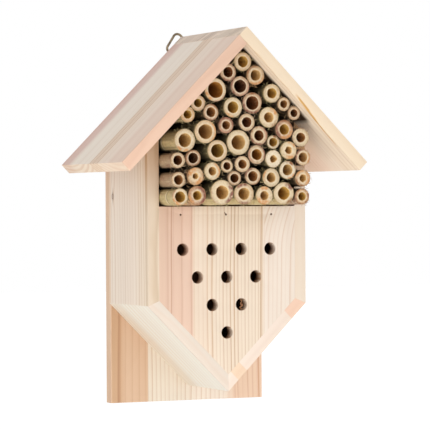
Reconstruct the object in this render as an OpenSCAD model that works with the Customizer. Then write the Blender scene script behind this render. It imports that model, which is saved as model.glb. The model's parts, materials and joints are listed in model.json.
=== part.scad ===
// Insect hotel: a small wooden house that hangs on a wall by a wire ring.
// A V-shaped body under a lapped gable roof. Below the shelf a drilled front closes a hollow
// chamber; above it the gable is packed with bamboo canes, open at the front and closed at the back.
// Millimetres. X runs across the front, Y from front to back, Z up.
// The origin is where the nail or hook carries the hanging ring.

/* [Body] */
// Width across the outer faces of the two side walls
body_w = 138; // [138:1:160]
// Depth of the walls, from their front edges to the backboard
body_d = 80; // [60:1:120]
// Thickness of every board
board_t = 9.5; // [8:0.5:9.5]
// Height of the ridge above the bottom of the backboard
ridge_z = 300; // [300:1:330]
// Height of the outer corners, where the lower walls start to slope inwards
corner_z = 81.5; // [78:0.5:88]
// Height of the shelf's top, on which the canes lie
shelf_z = 160; // [150:0.5:160]

/* [Backboard] */
// How far each side of the backboard is set in from the outer face of the wall
backboard_inset = 1; // [0:0.5:3]

/* [Roof] */
// How far the roof stands out in front of the walls
roof_overhang = 38; // [30:1:60]
// Slope length of the right roof board, from the ridge down
right_roof_l = 149.5; // [125:0.5:180]
// Slope length of the left roof board, which starts under the right one
left_roof_l = 141; // [115:0.5:170]

/* [Drilled front] */
// Number of holes in the top row; each row below has one fewer
hole_rows = 4; // [1:1:4]
// Diameter of a drilled hole
hole_d = 10; // [6:0.5:12]
// Distance between neighbouring holes, the same in every direction
hole_pitch = 25.5; // [20:0.5:26]
// Distance of the top row below the top of the drilled front
hole_drop = 34; // [20:0.5:40]
// Sideways place of the hole pattern's middle
hole_shift = -1; // [-3:0.5:3]

/* [Canes] */
// Length of solid cane behind each bore: the knot that closes it and the stub behind the knot
cane_plug = 15; // [5:1:40]

/* [Hanger] */
// Diameter of the ring's wire
wire_d = 2; // [1.5:0.1:2.2]
// Length of the ring's straight base bar
ring_base = 14; // [13:0.5:18]
// Height between the middles of the ring's lower bends and of its top bend
ring_rise = 9.5; // [7:0.5:14]
// Radius of the ring's bends, to the middle of the wire
ring_bend = 4; // [2.5:0.5:5]
// How far the ring leans back from upright
ring_lean = 18; // [0:1:60]
// Width of the folded strap that holds the ring
strap_w = 12; // [8:0.5:12.5]
// Length of the strap below the ring's base bar
strap_l = 30; // [28:1:40]
// Thickness of the strap's sheet metal
strap_t = 0.8; // [0.6:0.1:1]

/* [Hidden] */
$fn = 48;
// Each cane: place across, height above the shelf, diameter, bore, length in front of the walls
CANES = [
    [1.25, 113, 15, 8.5, 27],
    [-11.5, 104.5, 14, 8, 27],
    [12.75, 102.5, 15.5, 8.5, 26],
    [-0.75, 93.75, 16, 10, 26],
    [-22.5, 90.5, 18.5, 12.5, 27],
    [26, 88.5, 15, 8, 28],
    [10.25, 80.75, 17, 10.5, 25],
    [36.5, 80, 11, 6, 28],
    [45.5, 73, 11, 6, 28],
    [-7.5, 77, 16, 9, 27],
    [-37.5, 80, 12.5, 6.5, 27],
    [-26.5, 73, 13, 7.5, 27],
    [-46.5, 71, 12.5, 6.5, 27],
    [-13.5, 63, 13, 6.5, 27],
    [4.5, 65.5, 14, 8, 27],
    [23.75, 69.5, 16.5, 8, 27],
    [37.25, 60, 15.5, 8, 27],
    [-31.25, 57.75, 18.5, 11.5, 27],
    [15, 55, 15, 8, 27],
    [28, 50, 11, 7, 26],
    [51.75, 53.75, 15, 7.5, 27],
    [-3, 49.5, 20, 11.5, 27],
    [-48.5, 51, 18, 10.5, 26],
    [-21, 43, 17, 10.5, 27],
    [40, 43.5, 14.5, 5.5, 29],
    [52.75, 38, 13, 7.5, 29],
    [12.5, 40, 15, 8.5, 28],
    [27, 36.75, 14, 5.5, 28],
    [-53, 35.5, 12.5, 7.5, 22.5],
    [-40, 37.25, 13, 8, 22.5],
    [-13, 31, 10.5, 6, 27],
    [0, 32.5, 13, 7, 28],
    [39.5, 28, 14.5, 8.5, 28],
    [-25.5, 27, 14, 6.5, 27],
    [52.5, 21.5, 13.5, 6, 29],
    [-53, 20.25, 12.5, 7.5, 23.5],
    [-39.5, 23, 14, 4.5, 26],
    [-6.5, 21.5, 11.5, 7, 27],
    [10, 23, 13.5, 8, 26],
    [25.5, 22, 15, 7.5, 27],
    [-52.5, 7, 13.5, 8.5, 25.5],
    [-37.75, 8, 15.5, 7, 25],
    [-17.75, 10.25, 20, 10.5, 28],
    [1.75, 9.25, 17.5, 9.5, 27],
    [19.5, 7.75, 15, 7, 27],
    [36.5, 9.5, 18, 10, 27],
    [52.25, 7, 13, 6.5, 28]
];
// Gap between the back ends of the canes and the backboard
cane_gap = 0.5;
// How far the drilled front's top edge lies below the shelf's top
front_step = 0.5;
// Shank and head of a nail
nail_d = 1.2;
nail_l = 22;
nail_head_d = 1.6;
nail_head_h = 0.8;
// Places across of the nails through the drilled front into the shelf, and their depth below its top
FRONT_NAIL_X = [-41, -1.5, 38.5];
front_nail_drop = 7;
// Heights of the nails through the backboard into each side wall
WALL_NAIL_Z = [100, 145, 200];
// Places across of the nails through the backboard into the shelf
SHELF_NAIL_X = [-35, 0, 35];
// Screws that hold the strap
screw_d = 3;
screw_l = 9;
screw_head_d = 6;
screw_head_h = 1.8;
screw_slot = 0.9;
// Depths of the two screws below the ring's base bar
SCREW_DROP = [12.5, 23.5];
// Radial clearance of the ring's base bar in its fold, and of the nails and screws in their holes
gap = 0.05;
// Length over which the strap's rear leg closes onto its front leg
strap_nip = 6;
// How much the beads at the ends of the ring's bends stand out from the wire
bead = 0.02;

half_w = body_w / 2;
inner_w = half_w - board_t;
front_z = shelf_z - front_step;
tip_z = corner_z - half_w;
// A board at 45 degrees measures this much when it is cut straight up and down
slant_t = board_t * sqrt(2);
back_y = body_d + board_t;
wire_r = wire_d / 2;
ring_y = back_y + strap_t + wire_r + gap;
ring_z = ridge_z - slant_t - 0.5;
ring_top = 2 * ring_bend + ring_rise - wire_r;
hang_point = [0, ring_y + ring_top * sin(ring_lean), ring_z + ring_top * cos(ring_lean)];

// Height of the roof's underside and of the lower walls' upper faces at a distance from the middle
function roof_under(x) = ridge_z - slant_t - abs(x);
function floor_over(x) = tip_z + slant_t + abs(x);
function cane_name(i) = str("cane_", i < 9 ? "0" : "", i + 1);

CANE_NODES = [for (i = [0 : len(CANES) - 1]) cane_name(i)];

// Moves the house so that the hanging point is the origin
module hung() {
    translate(-hang_point) children();
}

// Extrudes an outline drawn in X and Z from one depth to another
module board(front, back) {
    translate([0, back, 0])
        rotate([90, 0, 0])
            linear_extrude(back - front)
                children();
}

// Mirrors a part drawn for the right side onto the left side
module flipped(left) {
    mirror([left ? 1 : 0, 0, 0]) children();
}

// Makes the holes that the nails leave in a board
module nailed() {
    difference() {
        children();
        nails(gap);
    }
}

module backboard() {
    half = half_w - backboard_inset;
    color("burlywood")
        difference() {
            nailed()
                board(body_d, back_y)
                    polygon([[-half, 0], [half, 0], [half, roof_under(half)], [0, roof_under(0)],
                             [-half, roof_under(half)]]);
            hanger_screws(gap);
        }
}

module side_wall(left) {
    color("wheat")
        nailed()
            flipped(left)
                board(0, body_d)
                    polygon([[half_w, corner_z], [half_w, roof_under(half_w)],
                             [inner_w, roof_under(inner_w)], [inner_w, floor_over(inner_w)]]);
}

module lower_wall(left) {
    color("blanchedalmond")
        nailed()
            flipped(left)
                board(0, body_d)
                    polygon([[0, tip_z], [half_w, corner_z], [inner_w, floor_over(inner_w)],
                             [0, floor_over(0)]]);
}

module drilled_front() {
    row_drop = hole_pitch * sqrt(3) / 2;
    color("bisque")
        nailed()
            board(0, board_t)
                difference() {
                    polygon([[0, floor_over(0)], [inner_w, floor_over(inner_w)],
                             [inner_w, front_z], [-inner_w, front_z],
                             [-inner_w, floor_over(inner_w)]]);
                    for (row = [0 : hole_rows - 1], k = [0 : hole_rows - 1 - row])
                        translate([hole_shift + (k - (hole_rows - 1 - row) / 2) * hole_pitch,
                                   front_z - hole_drop - row * row_drop])
                            circle(d = hole_d);
                }
}

module cane_shelf() {
    color("wheat")
        nailed()
            translate([-inner_w, board_t, shelf_z - board_t])
                cube([2 * inner_w, body_d - board_t, board_t]);
}

// A roof board lies along +X under the line of the slope, then tilts down about the ridge
module roof_board(start, length, left) {
    color("tan")
        flipped(left)
            board(-roof_overhang, back_y)
                translate([0, ridge_z])
                    rotate(-45)
                        translate([start, -board_t])
                            square([length, board_t]);
}

module cane(c) {
    length = body_d - cane_gap + c[4];
    color("khaki")
        translate([c[0], body_d - cane_gap, shelf_z + c[1]])
            rotate([90, 0, 0])
                difference() {
                    cylinder(d = c[2], h = length);
                    translate([0, 0, cane_plug]) cylinder(d = c[3], h = length);
                }
}

// The ring's plane is drawn flat, with its base bar along X, and is then stood up and leant back
module hanger_ring() {
    half = ring_base / 2;
    leg = norm([half, ring_rise]);
    leg_angle = atan2(ring_rise, half);
    color("dimgray")
        translate([0, ring_y, ring_z])
            rotate([90 - ring_lean, 0, 0]) {
                translate([-half, 0, 0]) rotate([0, 90, 0]) cylinder(r = wire_r, h = ring_base);
                translate([0, ring_bend + ring_rise, 0])
                    wire_bend(90 - leg_angle, 90 + leg_angle);
                for (left = [false, true])
                    flipped(left)
                        translate([half, ring_bend, 0]) {
                            wire_bend(-90, 90 - leg_angle);
                            rotate(180 - leg_angle)
                                translate([0, -ring_bend, 0])
                                    rotate([0, 90, 0])
                                        cylinder(r = wire_r, h = leg);
                        }
            }
}

// A bend of the wire, with a bead at each end that joins it to the straight wire there
module wire_bend(from, to) {
    rotate(from)
        rotate_extrude(angle = to - from)
            translate([ring_bend, 0])
                circle(r = wire_r);
    for (end = [from, to])
        rotate(end)
            translate([ring_bend, 0, 0])
                sphere(r = wire_r + bead);
}

// The strap's side view, with the middle of the ring's base bar at its origin
module strap_side() {
    eye = wire_r + gap;
    fold = eye + strap_t;
    difference() {
        union() {
            circle(r = fold);
            translate([-fold, -strap_l]) square([strap_t, strap_l]);
            translate([-eye, -strap_l]) square([strap_t, strap_l - strap_nip]);
            polygon([[-eye, -strap_nip], [strap_t - eye, -strap_nip], [fold, 0], [eye, 0]]);
        }
        circle(r = eye);
    }
}

module hanger_strap() {
    color("silver")
        difference() {
            translate([-strap_w / 2, ring_y, ring_z])
                rotate([90, 0, 90])
                    linear_extrude(strap_w)
                        strap_side();
            for (drop = SCREW_DROP)
                translate([0, back_y, ring_z - drop])
                    rotate([-90, 0, 0])
                        cylinder(d = screw_d + 2 * gap, h = 3 * strap_t);
        }
}

// Each nail and screw can be drawn thicker all round by spare, to cut the hole that it sits in
module hanger_screws(spare = 0) {
    color("lightgray")
        for (drop = SCREW_DROP)
            translate([0, back_y + 2 * strap_t, ring_z - drop])
                rotate([-90, 0, 0]) {
                    screw_shank(spare);
                    screw_head();
                }
}

// The shank points down from the origin
module screw_shank(spare) {
    d = screw_d + 2 * spare;
    translate([0, 0, -screw_l - spare]) cylinder(d1 = d / 3, d2 = d, h = screw_d);
    translate([0, 0, screw_d - screw_l - spare]) cylinder(d = d, h = screw_l - screw_d + spare);
}

module screw_head() {
    dome_r = (pow(screw_head_d / 2, 2) + pow(screw_head_h, 2)) / (2 * screw_head_h);
    difference() {
        intersection() {
            translate([0, 0, screw_head_h - dome_r]) sphere(r = dome_r);
            cylinder(d = screw_head_d, h = screw_head_h);
        }
        translate([-screw_head_d / 2, -screw_slot / 2, screw_head_h / 2])
            cube([screw_head_d, screw_slot, screw_head_h]);
    }
}

module nails(spare = 0) {
    wall_x = half_w - board_t / 2;
    lower_x = half_w / 2;
    color("dimgray") {
        for (x = FRONT_NAIL_X)
            translate([x, 0, shelf_z - front_nail_drop]) rotate([-90, 0, 0]) nail(spare);
        for (z = WALL_NAIL_Z, x = [-wall_x, wall_x]) back_nail(x, z, spare);
        for (x = [-lower_x, lower_x]) back_nail(x, tip_z + slant_t / 2 + lower_x, spare);
        for (x = SHELF_NAIL_X) back_nail(x, shelf_z - board_t / 2, spare);
    }
}

module back_nail(x, z, spare) {
    translate([x, back_y, z]) rotate([90, 0, 0]) nail(spare);
}

// A nail driven along +Z, its head flush with the origin
module nail(spare) {
    d = nail_d + 2 * spare;
    shank_l = nail_l - nail_d + spare;
    cylinder(d = nail_head_d + 2 * spare, h = nail_head_h + spare);
    cylinder(d = d, h = shank_l);
    translate([0, 0, shank_l]) cylinder(d1 = d, d2 = d / 4, h = nail_d);
}

hung() backboard();
hung() side_wall(left = true);  // left_side_wall
hung() side_wall(left = false);  // right_side_wall
hung() lower_wall(left = true);  // left_lower_wall
hung() lower_wall(left = false);  // right_lower_wall
hung() drilled_front();
hung() cane_shelf();
hung() roof_board(board_t, left_roof_l, left = true);  // left_roof_board
hung() roof_board(0, right_roof_l, left = false);  // right_roof_board
hung() hanger_strap();
hung() hanger_ring();
hung() hanger_screws();
hung() nails();
for (i = [0 : len(CANES) - 1])
    hung() cane(CANES[i]);
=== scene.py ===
"""The looks of the insect hotel: pale pine boards, sawn bamboo canes and a bent wire ring."""

import json
import math
import random
from collections import namedtuple
from dataclasses import dataclass

import bmesh
import bpy
from mathutils import Matrix, Vector, noise

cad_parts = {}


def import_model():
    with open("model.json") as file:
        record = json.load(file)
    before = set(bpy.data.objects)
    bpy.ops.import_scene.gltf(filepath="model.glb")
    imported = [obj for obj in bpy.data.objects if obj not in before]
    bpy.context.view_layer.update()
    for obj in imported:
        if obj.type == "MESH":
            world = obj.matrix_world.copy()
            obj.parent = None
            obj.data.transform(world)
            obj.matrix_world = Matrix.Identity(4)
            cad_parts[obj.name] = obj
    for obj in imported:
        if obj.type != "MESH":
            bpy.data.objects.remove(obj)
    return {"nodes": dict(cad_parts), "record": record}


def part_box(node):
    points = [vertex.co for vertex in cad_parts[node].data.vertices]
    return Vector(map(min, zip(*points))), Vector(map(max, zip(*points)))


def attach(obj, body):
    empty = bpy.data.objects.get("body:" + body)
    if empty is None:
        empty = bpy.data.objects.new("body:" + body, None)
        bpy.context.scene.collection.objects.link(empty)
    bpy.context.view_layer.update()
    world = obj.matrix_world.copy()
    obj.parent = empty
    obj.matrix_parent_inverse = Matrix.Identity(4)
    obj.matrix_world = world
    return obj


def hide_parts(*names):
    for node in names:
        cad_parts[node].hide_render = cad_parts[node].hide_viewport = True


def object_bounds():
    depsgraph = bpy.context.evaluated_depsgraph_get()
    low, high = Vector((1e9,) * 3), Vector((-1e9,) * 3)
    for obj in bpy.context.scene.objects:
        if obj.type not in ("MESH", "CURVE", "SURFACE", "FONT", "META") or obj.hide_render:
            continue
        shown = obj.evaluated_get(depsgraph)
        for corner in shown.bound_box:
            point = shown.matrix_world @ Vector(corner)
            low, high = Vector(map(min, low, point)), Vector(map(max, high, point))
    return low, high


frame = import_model()
CAD_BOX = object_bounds()
MM = 0.001
DIAGONAL = math.sqrt(0.5)
X, Y, Z = Vector((1, 0, 0)), Vector((0, 1, 0)), Vector((0, 0, 1))
RIGHT_SLOPE = Vector((DIAGONAL, 0, -DIAGONAL))
LEFT_SLOPE = Vector((-DIAGONAL, 0, -DIAGONAL))

# ---------------- colours and nodes


def clamp(value):
    return min(1.0, max(0.0, value))


def srgb(red, green, blue):
    """A colour as it looks on screen, from 0 to 255, as the linear colour that shaders use."""
    def linear(value):
        value /= 255
        return value / 12.92 if value <= 0.04045 else ((value + 0.055) / 1.055) ** 2.4
    return (linear(red), linear(green), linear(blue), 1.0)


def palette(**colours):
    return {name: srgb(*colour) for name, colour in colours.items()}


class Tree:
    """A node tree. Every call adds a node and returns its result as a socket."""

    def __init__(self, tree):
        self.tree = tree

    def put(self, socket, value):
        if isinstance(value, bpy.types.NodeSocket):
            self.tree.links.new(value, socket)
        else:
            socket.default_value = value

    def node(self, kind, values, result=0, **settings):
        made = self.tree.nodes.new(kind)
        for key, value in settings.items():
            setattr(made, key, value)
        for key, value in values.items():
            self.put(made.inputs[key], value)
        return made.outputs[result]

    def math(self, operation, *values):
        return self.node("ShaderNodeMath", dict(enumerate(values)), operation=operation)

    def plus(self, first, second):
        return self.math("ADD", first, second)

    def minus(self, first, second):
        return self.math("SUBTRACT", first, second)

    def times(self, result, *factors):
        for factor in factors:
            result = self.math("MULTIPLY", result, factor)
        return result

    def times_plus(self, value, factor, addend):
        return self.math("MULTIPLY_ADD", value, factor, addend)

    def above(self, value, limit):
        return self.math("GREATER_THAN", value, limit)

    def below(self, value, limit):
        return self.math("LESS_THAN", value, limit)

    def scale(self, vector, factors):
        return self.node("ShaderNodeVectorMath", {0: vector, 1: factors}, operation="MULTIPLY")

    def shift(self, vector, offset):
        return self.node("ShaderNodeVectorMath", {0: vector, 1: offset}, operation="ADD")

    def mix(self, factor, first, second, blend="MIX"):
        values = {0: factor, 6: first, 7: second}
        return self.node("ShaderNodeMix", values, 2, data_type="RGBA", blend_type=blend)

    def between(self, value, start, end, at_start=0.0, at_end=1.0):
        values = {"Value": value, "From Min": start, "From Max": end, "To Min": at_start,
                  "To Max": at_end}
        return self.node("ShaderNodeMapRange", values)

    def blend(self, colour, tone, value, start, end, most=1.0, kind="MIX"):
        """Mixes a tone into a colour: nothing where the value is at start, and most at end."""
        return self.mix(self.between(value, start, end, 0.0, most), colour, tone, kind)

    def attribute(self, name, result="Fac"):
        return self.node("ShaderNodeAttribute", {}, result, attribute_name=name)

    def split(self, vector):
        made = self.tree.nodes.new("ShaderNodeSeparateXYZ")
        self.put(made.inputs[0], vector)
        return made.outputs

    def noise(self, vector, factors, detail=2.0, roughness=0.5):
        values = {"Vector": self.scale(vector, factors), "Scale": 1.0, "Detail": detail,
                  "Roughness": roughness}
        return self.node("ShaderNodeTexNoise", values, "Fac")

    def ramp(self, value, stops):
        made = self.tree.nodes.new("ShaderNodeValToRGB")
        elements = made.color_ramp.elements
        while len(elements) < len(stops):
            elements.new(0.5)
        for element, (place, colour) in zip(elements, stops):
            element.position = place
            element.color = colour if isinstance(colour, tuple) else (colour, colour, colour, 1.0)
        self.put(made.inputs[0], value)
        return made.outputs[0]


class Graph(Tree):
    """A material's node tree and its shader."""

    def __init__(self, name, roughness, specular=0.3, metallic=0.0):
        self.material = bpy.data.materials.new(name)
        self.material.use_nodes = True
        super().__init__(self.material.node_tree)
        self.shader = self.tree.nodes["Principled BSDF"]
        self.set("Roughness", roughness)
        self.set("Specular IOR Level", specular)
        self.set("Metallic", metallic)

    def set(self, name, value):
        self.put(self.shader.inputs[name], value)

    def bump(self, height, distance, strength=1.0):
        values = {"Height": height, "Distance": distance, "Strength": strength}
        self.set("Normal", self.node("ShaderNodeBump", values))


# ---------------- meshes and pieces

SAME_PLACE = 1e-6
SAME_PLANE = math.radians(1)
ATTRIBUTES = {float: ("FLOAT", "value"), Vector: ("FLOAT_VECTOR", "vector"),
              tuple: ("FLOAT_COLOR", "color")}


def low(node):
    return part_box(node)[0]


def high(node):
    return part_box(node)[1]


def corner(node, *ends):
    """A corner of a node's box: its low (0) or high (1) end along x, y and z."""
    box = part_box(node)
    return Vector([box[end][axis] for axis, end in enumerate(ends)])


def store(mesh, name, values, domain="POINT"):
    """Keeps a value for each vertex or face as an attribute that the materials read."""
    kind, key = ATTRIBUTES[type(values[0])]
    made = mesh.attributes.new(name, kind, domain)
    for holder, value in zip(made.data, values):
        setattr(holder, key, value)


def eased(node, name, ease, turn):
    """A copy of a node's mesh, eased at the edges where it turns by more than turn degrees."""
    mesh = frame["nodes"][node].data.copy()
    mesh.name = name
    shape = bmesh.new()
    shape.from_mesh(mesh)
    bmesh.ops.remove_doubles(shape, verts=shape.verts, dist=SAME_PLACE)
    if ease:
        bmesh.ops.dissolve_limit(shape, angle_limit=SAME_PLANE, verts=shape.verts, edges=shape.edges)
        shared = [e for e in shape.edges if len(e.link_faces) == 2]
        sharp = [e for e in shared if e.calc_face_angle() > math.radians(turn)]
        bmesh.ops.bevel(shape, geom=sharp, offset=ease, segments=2, profile=0.6, affect="EDGES",
                        clamp_overlap=True)
        bmesh.ops.triangulate(shape, faces=[f for f in shape.faces if len(f.verts) > 4])
    shape.to_mesh(mesh)
    shape.free()
    mesh.materials.clear()
    return mesh


def around(angle, size=1.0, y=0.0):
    """A point on a circle round the y axis."""
    return Vector((size * math.cos(angle), y, size * math.sin(angle)))


def tube(shape, rings):
    """Joins rings of points into a tube with closed ends, and returns its faces, the ends last."""
    faces = []
    for first, second in zip(rings, rings[1:]):
        for side in range(len(first)):
            after = (side + 1) % len(first)
            faces.append(shape.faces.new((first[side], first[after], second[after], second[side])))
    return faces + [shape.faces.new(rings[0]), shape.faces.new(rings[-1])]


def finished(shape, name):
    """The shape as a mesh with its faces turned outwards."""
    bmesh.ops.recalc_face_normals(shape, faces=shape.faces)
    mesh = bpy.data.meshes.new(name)
    shape.to_mesh(mesh)
    shape.free()
    return mesh


def smooth(mesh, turn):
    """Shades a mesh smoothly, apart from edges where it turns by more than turn degrees."""
    mesh.shade_smooth()
    mesh.set_sharp_from_angle(angle=math.radians(turn))


def add_object(name, data):
    made = bpy.data.objects.new(name, data)
    bpy.context.scene.collection.objects.link(made)
    return made


def add_piece(name, mesh, materials, body, node=None):
    """Puts a mesh in the scene as a piece of a body, in place of a node where one is given."""
    for material in materials:
        mesh.materials.append(material)
    piece = add_object(name, mesh)
    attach(piece, body)
    if node:
        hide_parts(node)


# ---------------- pine

# A board is glued up from staves. Each one starts at a place across the board, after a soft or sharp
# change of colour, and has its own colours, rings and heart. Lengths are in millimetres.
Stave = namedtuple("Stave", "start soft pale dark spacing strength heart_x heart_z")

# A dark ring at one place across the board.
Line = namedtuple("Line", "place width strength")

# A small mark on the face: a knot, or a dent beside a nail.
Knot = namedtuple("Knot", "across along size")
Dent = namedtuple("Dent", "across along length width slant")

# A piece let into the first staves by a finger joint, from one place along the board to another.
Inset = namedtuple("Inset", "start end depth colour")

# A painted shadow on a face: brown, strongest in its middle, where the roof and the canes cast shade.
PaintedShadow = namedtuple("PaintedShadow", "across along half_across half_along strength")

# A streak of resin or of red heartwood along the front edge and round its inner arris: how far it lies
# from the outer arris, and how much farther with each millimetre along the board.
Streak = namedtuple("Streak", "depth slant start end width strength colour")

KNOT = srgb(120, 84, 62)
RINGS = srgb(196, 168, 142)
HEARTWOOD = srgb(224, 166, 142)
RESIN = srgb(214, 164, 94)
DENT = srgb(78, 52, 40)
SAWN = srgb(236, 206, 174)
# Painted shade on the faces inside the house.
INDOOR_SHADE = srgb(150, 112, 82)
# Painted shadow of the roof and the canes.
SHADOW_TINT = srgb(220, 184, 142)
# Painted deep shade on the roof's underside behind the canes' fronts.
DEEP_SHADE = srgb(70, 54, 40)

# How much of the dark late wood shows through a year's growth, and how much of a ring at a sawn end.
LATE_WOOD = [(0.0, 0.2), (0.07, 0.0), (0.55, 0.06), (0.8, 0.42), (0.92, 1.0), (1.0, 0.25)]
END_RINGS = [(0.0, 0.3), (0.1, 0.0), (0.4, 0.0), (0.65, 1.0), (0.9, 1.0), (1.0, 0.3)]

# How dark a knot is, from its middle outwards.
KNOT_STAIN = [(0.0, 0.85), (0.12, 0.6), (0.3, 0.3), (0.46, 0.95), (0.6, 0.25), (1.0, 0.0)]

# The slow change of tone along and across the wood.
TONES = [(0.0, srgb(248, 244, 241)), (1.0, srgb(255, 255, 255))]

# The space inside the house, in millimetres: its half width, the heights where the planes of the
# roof's underside and of the chamber's floor cross in the middle, and its back. The sloped boards are
# as thick as the walls, which takes up more height. Shade is painted onto the faces inside, also onto
# those that lie past these planes by no more than the slack.
WALL = low("right_side_wall").x / MM
SLOPED_HEIGHT = (high("right_side_wall").x / MM - WALL) / DIAGONAL
ROOF_UNDERSIDE = high("right_roof_board").z / MM - SLOPED_HEIGHT
CHAMBER_FLOOR = low("right_lower_wall").z / MM + SLOPED_HEIGHT
ROOM_BACK = low("backboard").y / MM
SLACK = 0.1

# How far the rings wander and wobble to one side at most, and how far on average, for a drift of 1.
WANDER = 4.0
WOBBLE = 0.7
MEAN_DRIFT = (WANDER + WOBBLE) / 2

BOARD_EASE = 0.45 * MM


@dataclass
class Look:
    """How a board looks. Painted shade darkens its faces inside the house from one depth to another."""

    staves: list
    seed: int
    drift: float = 2.0  # how far its rings wander
    lean: tuple = None  # where across and along they start to lean to one side, and how sharply
    lines: tuple = ()
    knots: tuple = ()
    dents: tuple = ()
    insets: tuple = ()
    streaks: tuple = ()
    # patches of painted shadow
    painted_shadows: tuple = ()
    sawn: tuple = SAWN  # the wood at its sawn ends
    rings: tuple = RINGS  # the rings at its sawn ends
    shade_colour: tuple = INDOOR_SHADE  # the colour of the painted shade on its faces inside the house
    shade_depths: tuple = (-96.2, -95.8)  # where in depth the painted shade starts, and where it is full
    soft: float = 0.2  # how softly the painted shade fades at the sides


class Wood(Graph):
    """Planed pine. The grain attribute holds millimetres across, along and into the board."""

    def __init__(self, name, look):
        super().__init__(name, roughness=0.62, specular=0.25)
        self.look = look
        grain = self.attribute("grain", "Vector")
        self.across, self.along, self.depth = self.split(grain)
        self.place = self.shift(grain, (look.seed * 131.0, look.seed * 57.0, look.seed * 29.0))
        self.sideways = self.find_sideways()
        self.growth, self.strength = self.find_growth()
        self.late = self.ramp(self.growth, LATE_WOOD)
        self.fibre = self.noise(self.place, (2.6, 0.05, 2.6), detail=3.0, roughness=0.6)
        self.set("Base Color", self.marked(self.sawn(self.planed())))
        rough = self.between(self.times_plus(self.late, 0.4, self.fibre), 0.3, 1.1, 0.52, 0.74)
        self.set("Roughness", rough)
        self.bump(self.times_plus(self.late, -0.3, self.fibre), 0.12 * MM, 0.4)

    def by_stave(self, field):
        """A number of the stave that a point is in."""
        staves = self.look.staves
        result = getattr(staves[0], field)
        for before, stave in zip(staves, staves[1:]):
            step = getattr(stave, field) - getattr(before, field)
            result = self.times_plus(self.above(self.across, stave.start), step, result)
        return result

    def stave_colour(self, field):
        """A colour of the stave that a point is in."""
        first, *others = self.look.staves
        result = srgb(*getattr(first, field))
        for stave in others:
            half = stave.soft / 2 + 0.1
            colour = srgb(*getattr(stave, field))
            result = self.blend(result, colour, self.across, stave.start - half, stave.start + half)
        return result

    def away(self, mark, half_across, half_along, slant=0.0):
        """How far a point is from a mark, in the mark's own size."""
        from_along = self.minus(self.along, mark.along)
        from_across = self.times_plus(from_along, slant, self.minus(self.across, mark.across))
        offset = self.node("ShaderNodeCombineXYZ", {0: from_across, 1: from_along})
        offset = self.scale(offset, (1 / half_across, 1 / half_along, 0.0))
        return self.node("ShaderNodeVectorMath", {0: offset}, "Value", operation="LENGTH")

    def find_sideways(self):
        """How far the rings lie to one side: they wander, bend round the knots and lean."""
        look = self.look
        wander = self.noise(self.place, (0.02, 0.005, 0.02), detail=1.0)
        wobble = self.noise(self.place, (0.09, 0.015, 0.09))
        fine = self.times(wobble, WOBBLE * look.drift)
        sideways = self.times_plus(wander, WANDER * look.drift, fine)
        for knot in look.knots:
            away = self.away(knot, knot.size, 2.2 * knot.size)
            push = self.math("EXPONENT", self.times(away, -0.8))
            sideways = self.times_plus(push, 1.4 * knot.size, sideways)
        if look.lean:
            start_across, start_along, bend = look.lean
            beyond = self.math("MAXIMUM", self.minus(self.along, start_along), 0.0)
            bent = self.times(beyond, beyond, -0.5 / bend, self.above(self.across, start_across))
            sideways = self.plus(sideways, bent)
        return sideways

    def find_growth(self):
        """How far a point is through its year's growth, and how strong that year's ring is."""
        from_x = self.plus(self.minus(self.across, self.by_stave("heart_x")), self.sideways)
        from_z = self.minus(self.depth, self.by_stave("heart_z"))
        radius = self.math("SQRT", self.times_plus(from_x, from_x, self.times(from_z, from_z)))
        turns = self.math("DIVIDE", radius, self.by_stave("spacing"))
        year = self.math("FLOOR", turns)
        weather = self.node("ShaderNodeTexWhiteNoise", {"W": self.plus(year, self.look.seed * 7.3)},
                            "Value", noise_dimensions="1D")
        strength = self.times(self.by_stave("strength"), self.between(weather, 0.0, 1.0, 0.3, 1.2))
        return self.math("FRACT", turns), strength

    def planed(self):
        """The colour of the planed faces: staves and insets with their rings and lines."""
        look = self.look
        dark_share = self.times(self.late, self.strength)
        off = self.minus(self.sideways, MEAN_DRIFT * look.drift)
        shifted = self.plus(self.across, off)
        for line in look.lines:
            away = self.math("ABSOLUTE", self.minus(shifted, line.place))
            near = self.between(away, line.width, 0.25 * line.width, 0.0, line.strength)
            dark_share = self.math("MAXIMUM", dark_share, near)
        pale = self.stave_colour("pale")
        for inset in look.insets:
            let_in = self.times(self.above(self.along, inset.start), self.below(self.along, inset.end),
                                self.below(self.across, inset.depth))
            pale = self.mix(let_in, pale, inset.colour)
        band = self.noise(self.place, (0.11, 0.004, 0.11))
        tone = self.between(self.times_plus(band, 0.7, self.times(self.fibre, 0.3)), 0.3, 0.7)
        colour = self.mix(dark_share, pale, self.stave_colour("dark"))
        return self.mix(1.0, colour, self.ramp(tone, TONES), "MULTIPLY")

    def sawn(self, colour):
        """The colour with the sawn ends: porous end grain and broad rings."""
        pores = self.noise(self.place, (1.7, 1.7, 1.7), detail=3.0, roughness=0.7)
        end_grain = self.attribute("end_grain")
        end = self.times(end_grain, self.between(pores, 0.3, 0.75, 0.75, 0.4))
        colour = self.mix(end, colour, self.look.sawn)
        ring = self.times(end_grain, self.times(self.ramp(self.growth, END_RINGS), self.strength))
        return self.mix(ring, colour, self.look.rings)

    def marked(self, colour):
        """The colour with the board's streaks, knots, painted shadows, dents and painted shade indoors.
        """
        look = self.look
        for streak in look.streaks:
            colour = self.mix(self.streak(streak), colour, streak.colour)
        for knot in look.knots:
            colour = self.mix(self.knot(knot), colour, KNOT)
        # Painted shadows cast by the roof and the canes.
        for shade in look.painted_shadows:
            away = self.away(shade, shade.half_across, shade.half_along)
            colour = self.blend(colour, SHADOW_TINT, away, 1.0, 0.3, shade.strength, "MULTIPLY")
        for dent in look.dents:
            away = self.away(dent, dent.width, dent.length, dent.slant)
            colour = self.blend(colour, DENT, away, 1.0, 0.6)
        # Painted shade on the faces inside the house.
        return self.mix(self.indoor_shade_mask(), colour, look.shade_colour, "MULTIPLY")

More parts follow.
